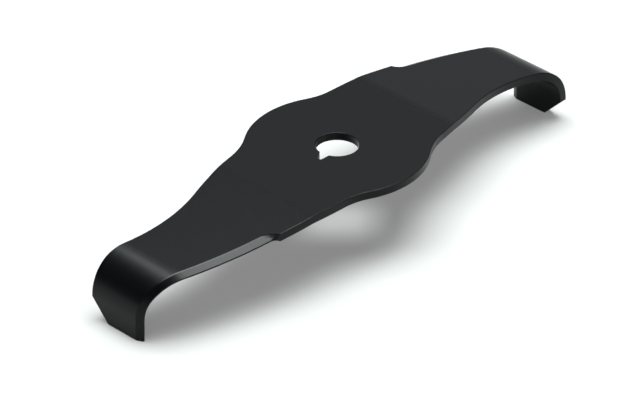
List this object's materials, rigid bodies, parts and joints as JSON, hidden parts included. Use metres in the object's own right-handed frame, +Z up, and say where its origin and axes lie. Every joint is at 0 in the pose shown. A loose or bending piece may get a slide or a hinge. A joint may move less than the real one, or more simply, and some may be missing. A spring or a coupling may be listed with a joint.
{
  "type": "brush cutter blade",
  "caption": "Flat steel shredder blade for a brush cutter, with a round hub, a notched bore, swept arms ground on their leading edges and tips bent straight down.",
  "frame": {"origin": "centre of the bore, halfway through the plate", "axes": "+X along the arms, +Z up along the bore, with the tips bent towards -Z; the +X arm cuts with its +Y edge"},
  "size_m": [0.2732, 0.0856, 0.0371],
  "materials": {
    "coating": "semi-matt black powder coat"
  },
  "bodies": {
    "root": {"blade": "coating"}
  },
  "joints": []
}
